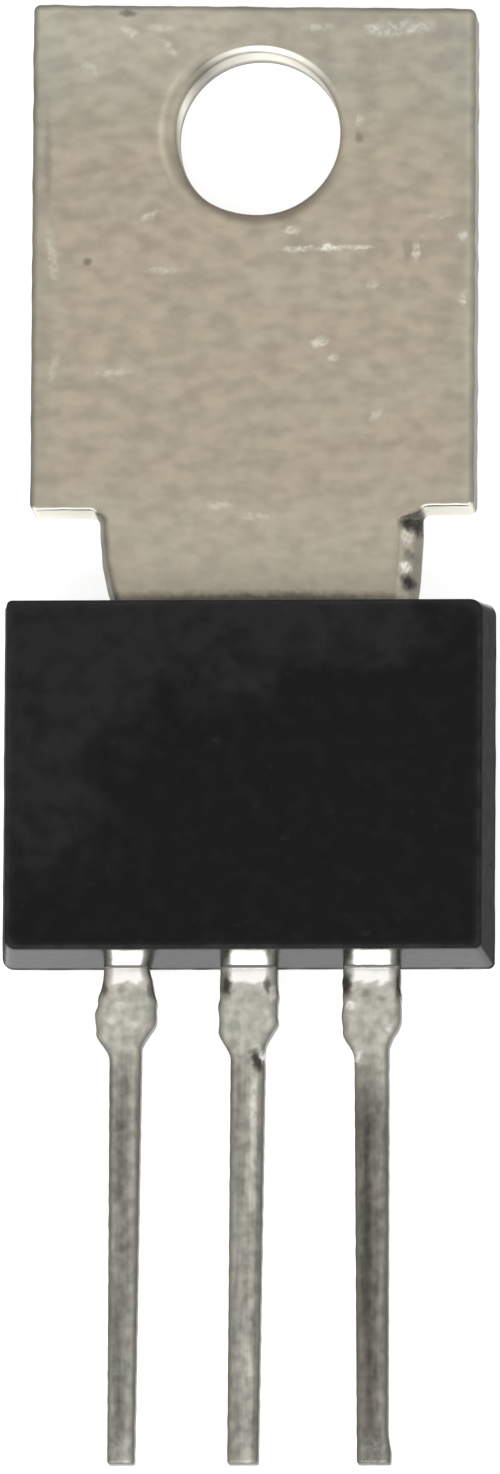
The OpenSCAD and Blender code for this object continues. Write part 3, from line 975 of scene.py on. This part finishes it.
@dataclass
class Blade:
    """Flat metal strip: a rounded oblong section carried along a path that may rise in a joggle."""

    thickness: float
    edge: float = 0.05 * MM
    steps: tuple[int, int] = (3, 9)

    def section(self) -> tuple[np.ndarray, np.ndarray]:
        """Section of the strip: four corner arcs joined by straight flats.

        Formula: a point is its corner or flat place, as a share of the half width and half thickness,
        moved by the edge radius times a rounding, which is the arc's direction less the corner.

        Returns:
            Shares from -1 to 1 of the half width and half thickness, and the roundings.
        """
        corners = np.array([(1.0, -1.0), (1.0, 1.0), (-1.0, 1.0), (-1.0, -1.0)])
        places, rounds = [], []
        for k, (corner, following) in enumerate(zip(corners, np.roll(corners, -1, 0))):
            angle = np.linspace(k - 1.0, k, ARC_STEPS) * math.pi / 2
            arc = np.stack([np.cos(angle), np.sin(angle)], 1)
            t = np.linspace(0.0, 1.0, self.steps[k % 2] + 2)[1:-1, None]
            places += [np.tile(corner, (ARC_STEPS, 1)), corner + (following - corner) * t]
            rounds += [arc - corner, (1.0 - t) * (arc[-1] - corner) + t * (arc[-1] - following)]
        return np.concatenate(places), np.concatenate(rounds)

    def sweep(self, path: np.ndarray, slope: np.ndarray, sides: np.ndarray) -> tuple[np.ndarray, np.ndarray]:
        """Carries the section along the path.

        Formula: across, the section lies between the strip's sides; its height is measured along the
        path's normal, which leans over by the slope.

        Args:
            path: (y, z) of the strip's middle layer at each station.
            slope: Angle by which the strip climbs at each station, in radians.
            sides: x of the strip's left and right edges at each station.

        Returns:
            Points as stations by columns by three, and the section's shares.
        """
        place, bend = self.section()
        middle, half = sides.sum(1)[:, None] / 2, (sides[:, 1] - sides[:, 0])[:, None] / 2
        x = middle + half * place[:, 0] + self.edge * bend[:, 0]
        up = self.thickness / 2 * place[:, 1] + self.edge * bend[:, 1]
        y = path[:, :1] + up * np.sin(slope)[:, None]
        z = path[:, 1:] + up * np.cos(slope)[:, None]
        return np.stack([x, y, z], -1), place


@dataclass
class LeadShape:
    """Shape and tone of one lead outside the body, by distance from the body towards the tip.

    Attributes:
        x: Place of its root.
        drift: How far its tip stands to the right of that.
        root: Width at the body.
        pad: Width of the pad, which is reached at "rise" and kept up to "pad_end".
        stem: Width of the stem, which is reached over "taper" and narrows to "tip".
        length: Length outside the body.
        skew: How far the pad's left side lies behind its right side, halved.
        ragged: How uneven its sheared sides are.
        flare: How far the burr at the tip stands out.
        root_highlight: Where the painted highlight at the root starts and ends; a thin line of painted shade
            lies before its start.
        pad_tone: Multiplier of the pad's colour, which falls over "fade" to "stem_tone".
        stripes: Place across the stem from -1 to 1, spread and gain of each long stripe.
        seed: Seed of its uneven edges.
    """

    x: float
    drift: float
    root: float = 0.93 * MM
    pad: float = 1.25 * MM
    rise: float = 0.85 * MM
    pad_end: float = 1.2 * MM
    stem: float = 0.71 * MM
    taper: float = 0.6 * MM
    tip: float = 0.64 * MM
    length: float = 10.3 * MM
    skew: float = 0.11 * MM
    ragged: float = 0.01 * MM
    flare: float = 0.0
    root_highlight: tuple[float, float] = (0.03 * MM, 0.34 * MM)
    pad_tone: float = 1.15
    stem_tone: float = 1.0
    fade: float = 1.3 * MM
    stripes: tuple[Triple, ...] = ()
    seed: int = 1

    def width(self, s: np.ndarray) -> np.ndarray:
        """Width of the lead: from root to pad, then a stem that narrows evenly to the tip.

        Args:
            s: Distances from the body.

        Returns:
            Width at each distance.
        """
        stem_start = self.pad_end + self.taper
        along = np.clip((s - stem_start) / (self.length - stem_start), 0.0, 1.0)
        stem = self.stem + (self.tip - self.stem) * along
        to_pad = self.root + (self.pad - self.root) * ease(s / self.rise)
        return to_pad + (stem - to_pad) * ease((s - self.pad_end) / self.taper)

    def sides(self, s: np.ndarray) -> np.ndarray:
        """Both edges of the lead, with their uneven cuts and the tip's flare.

        Args:
            s: Distances from the body.

        Returns:
            x of the left and right edges at each distance.
        """
        middle = self.x + self.drift * s / self.length
        on_pad = ease(s / (0.3 * MM)) * (1.0 - 0.7 * ease((s - self.pad_end) / self.taper))
        cuts = [Waves(seed, 0.5 * MM, self.ragged).at(s[:, None]) for seed in (self.seed, self.seed + 40)]
        left = middle - self.width(s - self.skew) / 2 + on_pad * cuts[0]
        right = middle + self.width(s + self.skew) / 2 + on_pad * cuts[1]
        right += self.flare * ease((s - self.length + 0.7 * MM) / (0.5 * MM))
        return np.stack([left, right], 1)


@dataclass
class LeadSet:
    """The three leads, with their posts inside the body and the middle lead's joggle."""

    finish: bpy.types.Material
    thickness: float = 0.5 * MM
    level: float = 2.57 * MM
    body_end: float = 17.76 * MM
    post_start: float = 17.16 * MM
    post_length: float = 1.2 * MM
    post_width: float = 1.7 * MM
    post_shift: float = 0.25 * MM
    post_step: float = 0.04 * MM
    header_end: float = 15.46 * MM
    header_level: float = 1.02 * MM
    header_lap: float = 0.3 * MM
    joggle_start: float = 0.25 * MM
    joggle_slope: float = math.radians(60.0)
    bend_radius: float = 0.35 * MM
    tip_length: float = 0.06 * MM
    tip_depth: float = 0.035 * MM
    face_wave: float = 0.0015 * MM

    def distances(self, shape: LeadShape) -> np.ndarray:
        """Stations outside the body, close together at the root, the pad and the tip.

        Args:
            shape: The lead's shape.

        Returns:
            Distances from the body.
        """
        tip_start = shape.length - self.tip_length
        root = np.linspace(0.0, 0.2 * MM, 13)
        pad = np.linspace(root[-1], shape.pad_end + shape.taper, 56)[1:]
        stem = np.linspace(pad[-1], tip_start, 120)[1:]
        tip = tip_start + self.tip_length * np.sin(np.linspace(0.0, math.pi / 2, 6)[1:])
        return np.concatenate([root, pad, stem, tip])

    def dress(
        self, shape: LeadShape, points: np.ndarray, place: np.ndarray, s: np.ndarray
    ) -> dict[str, np.ndarray]:
        """Shapes the relief outside the body and works out the values for the finish.

        Formula: the faces wave by a few microns, and the tip is rounded over by pulling its last rings
        in on a circle. A thin line of painted shade lies against the body, and a band of painted highlight
        beyond it. The tone falls from the pad's to the stem's, whose stripes are bell curves across it.

        Args:
            shape: The lead's shape.
            points: Its points, changed in place.
            place: The section's shares.
            s: Distance from the body at each station, negative inside it, as one column.

        Returns:
            Values by name, each as stations by columns.
        """
        grid = points.shape[:2]
        outside = s >= 0.0
        waves = Waves(shape.seed + 7, 0.5 * MM, self.face_wave).at(points)
        points[..., 2] += outside * ease(s / (0.4 * MM)) * waves
        pull = np.clip(1.0 - (shape.length - s) / self.tip_length, 0.0, 1.0)
        shrink = self.tip_depth * (1.0 - np.sqrt(1.0 - pull * pull * 0.999))
        points[..., ::2] -= shrink[..., None] * np.sign(place)
        across = place[:, 0]
        sheared = ease((np.abs(across) - 0.93) / 0.07)
        inner = outside * ease((0.85 - np.abs(across)) / 0.2)
        # Painted shade: a thin dark line on the lead where it leaves the body.
        root_shade = ease((shape.root_highlight[0] - s) / (0.04 * MM))
        cut = ease((s - shape.length + self.tip_length) / (0.04 * MM))
        reach = shape.root_highlight[1] + Waves(shape.seed + 60, 0.4 * MM, 0.035 * MM).at(points[..., :1])
        # Painted highlight: a near-white band across the lead just beyond the body.
        root_highlight = 0.15 * ease((0.5 * MM - s) / (0.15 * MM)) + 0.85 * ease((reach - s) / (0.07 * MM))
        stem = ease((s - shape.pad_end) / shape.fade)
        shade = shape.pad_tone + (shape.stem_tone - shape.pad_tone) * stem * np.ones(grid)
        for middle, spread, gain in shape.stripes:
            shade *= 1.0 + gain * stem * bell(across, middle, spread)
        return plated(
            grid,
            edge=outside * np.maximum(0.6 * sheared, np.maximum(0.6 * root_shade, 0.5 * cut)),
            shade=shade,
            clean=inner * root_highlight * (1.0 - root_shade),
            gloss=inner * ease((0.75 * MM - s) / (0.2 * MM)) * (1.0 - root_shade),
            streak=0.25 + 0.75 * stem,
        )

    def add(
        self, name: str, node: str, shape: LeadShape, path: np.ndarray, slope: np.ndarray, sides: np.ndarray
    ) -> None:
        """Adds one lead, given what it is like inside the body.

        Args:
            name: Name of the piece.
            node: Name of the solid that it stands for.
            shape: Its shape outside the body.
            path: (y, z) of its middle layer at each station inside the body.
            slope: Angle by which it climbs there, in radians.
            sides: x of its left and right edges there.
        """
        s = self.distances(shape)
        path = np.concatenate([path, table(-self.body_end - s, self.level)])
        slope = np.concatenate([slope, np.zeros_like(s)])
        sides = np.concatenate([sides, shape.sides(s)])
        points, place = Blade(self.thickness).sweep(path, slope, sides)
        values = self.dress(shape, points, place, -self.body_end - path[:, :1])
        add_piece(name, Surface(points, closed=False, values=values), self.finish, node)

    def outer(self, side: Side, shape: LeadShape, name: str, node: str) -> None:
        """Adds one outer lead, which ends in a bond post inside the body.

        Formula: the strip is straight, with the post's width and place at the first three stations and
        the root's at the last two.

        Args:
            side: Which lead it is.
            shape: Its shape outside the body.
            name: Name of the piece.
            node: Name of the solid that it stands for.
        """
        post, step = self.body_end - self.post_start, self.post_step
        deep = np.array([post + self.post_length, post + step, post, post - step, step / 2])
        middle = shape.x - side.value * self.post_shift * np.array([1.0, 1.0, 1.0, 0.0, 0.0])
        half = np.array([self.post_width] * 3 + [shape.root] * 2) / 2
        path = table(deep - self.body_end, self.level)
        self.add(name, node, shape, path, np.zeros(5), np.stack([middle - half, middle + half], 1))

    def joggled_path(self) -> tuple[np.ndarray, np.ndarray]:
        """Middle layer of the middle lead from the header up to the leads' level.

        Formula: the slope grows evenly from 0 to the joggle's over one bend, stays, and falls evenly to
        0 over the next. The place is the running sum of the slope's cosine along -Y and sine along +Z,
        and the straight stretch is as long as the rise needs.

        Returns:
            (y, z) of each station, and the slope at each.
        """
        bend = self.bend_radius * self.joggle_slope
        bend_rise = self.bend_radius * (1.0 - math.cos(self.joggle_slope))
        straight = (self.level - self.header_level - 2.0 * bend_rise) / math.sin(self.joggle_slope)
        counts = np.array([4, 8, 4, 8])
        lengths = np.array([self.joggle_start + self.header_lap, bend, straight, bend])
        lengths = np.repeat(lengths / counts, counts)
        growing = (np.arange(counts[1]) + 0.5) / counts[1]
        slopes = np.concatenate([np.zeros(counts[0]), growing, np.ones(counts[2]), 1.0 - growing])
        slopes *= self.joggle_slope
        steps = table(-lengths * np.cos(slopes), lengths * np.sin(slopes))
        start = np.array([[self.header_lap - self.header_end, self.header_level]])
        path = start + np.concatenate([np.zeros((1, 2)), np.cumsum(steps, 0)])
        return path, np.concatenate([[0.0], (slopes[1:] + slopes[:-1]) / 2, [0.0]])

    def middle(self, shape: LeadShape) -> None:
        """Adds the middle lead, which rises from the header through its joggle.

        Args:
            shape: Its shape outside the body.
        """
        path, slope = self.joggled_path()
        sides = np.tile((shape.x - shape.root / 2, shape.x + shape.root / 2), (len(path), 1))
        self.add("middle_lead", "collector_frame", shape, path, slope, sides)


@dataclass
class Header:
    """Plate under the die, stepped along its sides, whose back shows in the body's back."""

    width: float = 7.7 * MM
    step: float = 0.35 * MM
    step_height: float = 0.55 * MM
    thickness: float = 1.27 * MM
    start: float = 10.5 * MM
    end: float = 15.46 * MM
    corner: float = 0.5 * MM
    edge: float = 0.02 * MM
    greenness: float = 0.55

    def surface(self) -> Surface:
        """Closed surface of the header.

        Formula: a stepped section, the same on both sides, is carried along -Y, and its sides come in on
        a circle over the last corner's radius.

        Returns:
            The capped surface.
        """
        turn = np.linspace(0.0, math.pi / 2, 12)
        straight = np.linspace(self.start, self.end - self.corner, 12)[:-1]
        y = -np.concatenate([straight, self.end - self.corner + self.corner * np.sin(turn)])
        inset = np.concatenate([np.zeros_like(straight), self.corner * (1.0 - np.cos(turn))])
        half = self.width / 2
        narrow = half - self.step
        right = np.array([
            (narrow - self.edge, 0.0),
            (narrow, self.edge),
            (narrow, self.step_height),
            (half, self.step_height),
            (half, self.thickness),
        ])
        x, z = np.roll(np.concatenate([right, right[::-1] * (-1.0, 1.0)]), 1, 0).T
        points = np.stack(np.broadcast_arrays(x - np.sign(x) * inset[:, None], y[:, None], z), -1)
        return Surface(points, closed=False, values=plated(points.shape[:2], cool=self.greenness))


# ---------------------------------------------------------------- moulding


@dataclass
class Moulding:
    """Drafted black body, with its parting line."""

    finish: bpy.types.Material
    width: float = 10.2 * MM
    length: float = 7.62 * MM
    thickness: float = 4.57 * MM
    top: float = 10.14 * MM
    offset: float = -0.02 * MM
    parting: float = 2.57 * MM
    front_draft: float = math.radians(5.1)
    back_draft: float = math.radians(7.0)
    corners: tuple[float, float, float, float] = (0.24 * MM, 0.14 * MM, 0.26 * MM, 0.11 * MM)
    front_edge: float = 0.07 * MM
    back_edge: float = 0.05 * MM
    back_gap: float = 0.012 * MM
    flash: float = 0.008 * MM
    flash_height: float = 0.035 * MM
    ragged_flash: Waves = Waves(17, 0.8 * MM, 0.5)
    wavy_front: Waves = Waves(11, 2.4 * MM, 0.004 * MM)
    uneven_haze: Waves = Waves(29, 1.6 * MM, 0.6 * MM)

    def ring(self, inset: float) -> np.ndarray:
        """Outline of the body, drawn in evenly.

        Args:
            inset: How far it is drawn in.

        Returns:
            Outline points, anticlockwise from the lower left corner.
        """
        x = self.width / 2 - inset
        low, high = -self.top - self.length + inset, -self.top - inset
        corners = np.array([(-x, low), (x, low), (x, high), (-x, high)]) + (self.offset, 0.0)
        return filleted_outline(corners, self.corners, [70, 54, 70, 54])

    def profile(self) -> np.ndarray:
        """Section from the front's middle over the wall to the back's middle.

        Formula: rows of (scale, inset, height, polish, rim). The scale shrinks the flat faces' rings to
        a point; the walls' inset grows with the tangent of the draft away from the parting line, and
        each face's edge is a quarter circle, at the front leant over by the draft.

        Returns:
            The rows, front first.
        """
        lean_in, lean_back = math.tan(self.front_draft), math.tan(self.back_draft)
        front_in = (self.thickness - self.parting) * lean_in
        back_in = (self.parting - self.back_gap) * lean_back
        front, back = self.front_edge, self.back_edge
        scales = np.array([1.0e-4, *np.arange(1, 12) / 12.0, 0.97, 0.992])
        worn = np.where(scales > 0.98, 1.0, 0.0)
        turned = QUARTER / (math.pi / 2)
        front_wall = np.linspace(self.thickness - front, self.parting + self.flash_height, 12)[1:]
        back_wall = np.linspace(self.parting - self.flash_height, self.back_gap + back, 12)
        proud, up, rubbed = np.array([
            (0.6, 0.6, 0.4),
            (1.0, 0.2, 0.8),
            (1.0, -0.2, 0.8),
            (0.4, -0.6, 0.4),
        ]).T
        return np.concatenate([
            table(scales, front_in + front, self.thickness, 0.0, 0.3 * worn),
            table(1.0, front_in + front * (1.0 - SINE) - front * RISE * lean_in,
                  self.thickness - front * RISE, turned, 1.0 - 0.5 * turned),
            table(1.0, (front_wall - self.parting) * lean_in, front_wall, 1.0, 0.0),
            table(1.0, -self.flash * proud, self.parting + self.flash_height * up, 1.0, rubbed),
            table(1.0, (self.parting - back_wall) * lean_back, back_wall, 1.0, 0.0),
            table(1.0, back_in + back * RISE, self.back_gap + back * (1.0 - SINE), 1.0 - turned, 0.5)[1:],
            table(scales, back_in + back, self.back_gap, 0.0, 0.2 * worn)[::-1],
        ])

    def surface(self) -> Surface:
        """Closed surface of the body, whose front waves by a few microns and whose flash is ragged.

        Formula: each ring is the outline drawn in by its row's inset, shrunk towards the body's middle
        by the row's scale and raised to its height.

        Returns:
            The capped surface.
        """
        rows = self.profile()
        scale, inset, height, polish, rim = rows.T[..., None]
        centre = np.array([0.0, -self.top - self.length / 2])
        rings = np.stack([self.ring(drawn_in) for drawn_in in rows[:, 1]])
        rings = centre + (rings - centre) * scale[..., None]
        points = raised(rings, height)
        waves = self.wavy_front.at(rings) * (1.0 - scale ** 6)
        points[..., 2] += np.where(height > self.thickness - 1.0e-4 * MM, waves, 0.0)
        proud = np.clip(-inset, 0.0, None) * (self.ragged_flash.at(rings) - 0.5)
        points[..., :2] += proud[..., None] * unit(rings - centre)
        facing = np.abs(outward_normals(self.ring(0.0))[:, 1])
        uneven = self.uneven_haze.at(points[..., :2])
        x, y = points[..., 0], points[..., 1] - centre[1]
        left_side = ease((-x - 2.4 * MM + uneven) / (1.6 * MM)) * ease((y + 3.0 * MM) / (2.0 * MM))
        far_end = ease((y - 1.2 * MM + uneven - 0.35 * x) / (1.6 * MM))
        on_front = points[..., 2] > self.thickness - 0.1 * MM
        return Surface(points, closed=False, values={
            "polish": polish * (1.8 * ease((facing - 0.3) / 0.5) - 0.8),
            "rim": np.broadcast_to(rim, x.shape),
            "haze": np.where(on_front, np.maximum(left_side, far_end), 1.0),
        })

    def add(self) -> None:
        """Adds the body."""
        add_piece("moulded_body", self.surface(), self.finish, "package_body")


# ---------------------------------------------------------------- studio


@dataclass(frozen=True)
class Lamp:
    """One square soft lamp that faces the part.

    Attributes:
        name: Name of the lamp.
        toward: Direction of the lamp from the part.
        far: Its distance.
        size: Its side.
        radiance: Its brightness, where 1 is white.
    """

    name: str
    toward: Triple
    far: float
    size: float
    radiance: float

    def add(self, aim: Vector) -> None:
        """Adds the lamp.

        Args:
            aim: Point that it faces.
        """
        data = bpy.data.lights.new(self.name, "AREA")
        data.shape = "SQUARE"
        data.size = self.size
        data.energy = self.radiance * math.pi * self.size * self.size
        lamp = new_object(self.name, data)
        away = Vector(self.toward).normalized()
        lamp.location = aim + away * self.far
        lamp.rotation_mode = "QUATERNION"
        lamp.rotation_quaternion = away.to_track_quat("Z", "Y")


LEAD_SIDE_TILT = math.radians(58.0)


@dataclass
class Studio:
    """Camera, pale floor and plain soft light: a key lamp overhead and a large one low past the leads."""

    aim: Triple = (-0.054 * MM, -12.826 * MM, 2.0 * MM)
    distance: float = 450.0 * MM
    lean_right: float = math.radians(3.7)
    lean_down: float = math.radians(8.0)
    roll: float = math.radians(0.34)
    lens: float = 529.7
    sensor: float = 36.0
    floor_level: float = -0.02 * MM
    floor_size: float = 4.0
    floor_albedo: float = 0.6
    floor_glow: float = 0.78
    zenith: float = 0.7
    horizon: float = 0.3
    lead_side_gain: float = 0.4
    lamps: tuple[Lamp, ...] = (
        Lamp("key", toward=(-0.065, -0.31, 0.95), far=0.6, size=0.1, radiance=12.0),
        Lamp(
            "lead_side", toward=(-0.2, -math.sin(LEAD_SIDE_TILT), math.cos(LEAD_SIDE_TILT)),
            far=0.7, size=0.45, radiance=2.0,
        ),
    )

    def camera(self) -> None:
        """Makes the camera: a long lens above the front, leaning towards the leads."""
        away = Vector((math.tan(self.lean_right), -math.tan(self.lean_down), 1.0)).normalized()
        right = (-away).cross(Vector((0.0, 1.0, 0.0))).normalized()
        up = right.cross(-away)
        turned_right = right * math.cos(self.roll) + up * math.sin(self.roll)
        turned_up = up * math.cos(self.roll) - right * math.sin(self.roll)
        data = bpy.data.cameras.new("camera")
        data.lens = self.lens
        data.sensor_width = self.sensor
        data.clip_start = 0.01
        data.clip_end = 10.0
        camera = new_object("camera", data)
        axes = Matrix((turned_right, turned_up, away)).transposed().to_4x4()
        camera.matrix_world = Matrix.Translation(Vector(self.aim) + away * self.distance) @ axes
        bpy.context.scene.camera = camera

    def floor(self) -> None:
        """Makes the floor, which shows white but keeps a soft shadow."""
        half = self.floor_size / 2
        mesh = bpy.data.meshes.new("floor")
        corners = [(-half, -half), (half, -half), (half, half), (-half, half)]
        mesh.from_pydata([(x, y, self.floor_level) for x, y in corners], [], [(0, 1, 2, 3)])
        floor = new_object("floor", mesh)
        g = Graph(bpy.data.materials.new("floor_paper"))
        paper = g.finish(
            Base_Color=(self.floor_albedo,) * 3,
            Roughness=1.0,
            Specular_IOR_Level=0.0,
            Emission_Color=(1.0, 1.0, 1.0),
            Emission_Strength=g.times(g.seen_directly(), self.floor_glow),
        )
        mesh.materials.append(paper)

    def world(self) -> None:
        """Makes the soft surroundings: brightest overhead and towards the leads, white where seen."""
        g = Graph(bpy.data.worlds.new("studio"), "BACKGROUND")
        bpy.context.scene.world = g.owner
        direction = g.add("TexCoord", "Generated", {})
        y, z = (g.add("SeparateXYZ", axis, {"Vector": direction}) for axis in "YZ")
        overhead = g.spread(z, 0.1, 0.85, self.horizon, self.zenith)
        leadward = g.plus(g.times(y, -self.lead_side_gain), 1.0)
        soft = {"Factor": g.seen_directly(), "A": g.times(overhead, leadward), "B": 1.0}
        g.finish(Color=(1.0, 1.0, 1.0), Strength=g.add("Mix", "Result", soft))

    def build(self) -> None:
        """Makes everything round the part."""
        self.camera()
        self.floor()
        self.world()
        for lamp in self.lamps:
            lamp.add(Vector(self.aim))
        bpy.context.scene.view_settings.view_transform = "Standard"


# ---------------------------------------------------------------- assembly


def dress_inner_pieces() -> None:
    """Gives the die, its solder and the bond wires their finishes."""
    made = {key: finish.build() for key, finish in INNER_FINISHES.items()}
    made["base_bond_wire"] = made["emitter_bond_wire"]
    for node, material in made.items():
        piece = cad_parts[node]
        piece.data.materials.clear()
        piece.data.materials.append(material)
        log.info("%s: dressed with %s", node, material.name)


def main() -> None:
    """Builds the transistor and its studio."""
    logging.basicConfig(level=logging.INFO, format="%(message)s")
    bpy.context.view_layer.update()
    Studio().build()
    tab_metal, lead_metal = TAB_FINISH.build(), LEAD_FINISH.build()
    resin = EpoxyFinish("black_moulding_resin").build()
    add_piece("tab_plate", TabPlate().surface(), tab_metal, "collector_frame")
    add_piece("header_plate", Header().surface(), tab_metal, "collector_frame")
    leads = LeadSet(lead_metal)
    left = LeadShape(
        -2.54 * MM, -0.05 * MM, stem=0.66 * MM, tip=0.56 * MM, stem_tone=0.61, seed=1,
        stripes=((-0.15, 0.35, -0.2), (0.55, 0.2, 0.25)),
    )
    middle = LeadShape(
        0.0, -0.07 * MM, root=1.18 * MM, pad=1.22 * MM, stem_tone=0.82, seed=2,
        stripes=((-0.6, 0.35, -0.24), (0.48, 0.24, 0.32), (0.87, 0.12, -0.45)),
    )
    right = LeadShape(
        2.54 * MM, 0.07 * MM, root=1.18 * MM, pad=1.21 * MM, flare=0.06 * MM, stem_tone=0.42, fade=2.2 * MM,
        seed=3, stripes=((-0.3, 0.36, -0.34), (0.62, 0.3, 0.35)),
    )
    leads.outer(Side.LEFT, left, "left_lead", "emitter_lead")
    leads.middle(middle)
    leads.outer(Side.RIGHT, right, "right_lead", "base_lead")
    Moulding(resin).add()
    dress_inner_pieces()


if __name__ == "__main__":
    main()
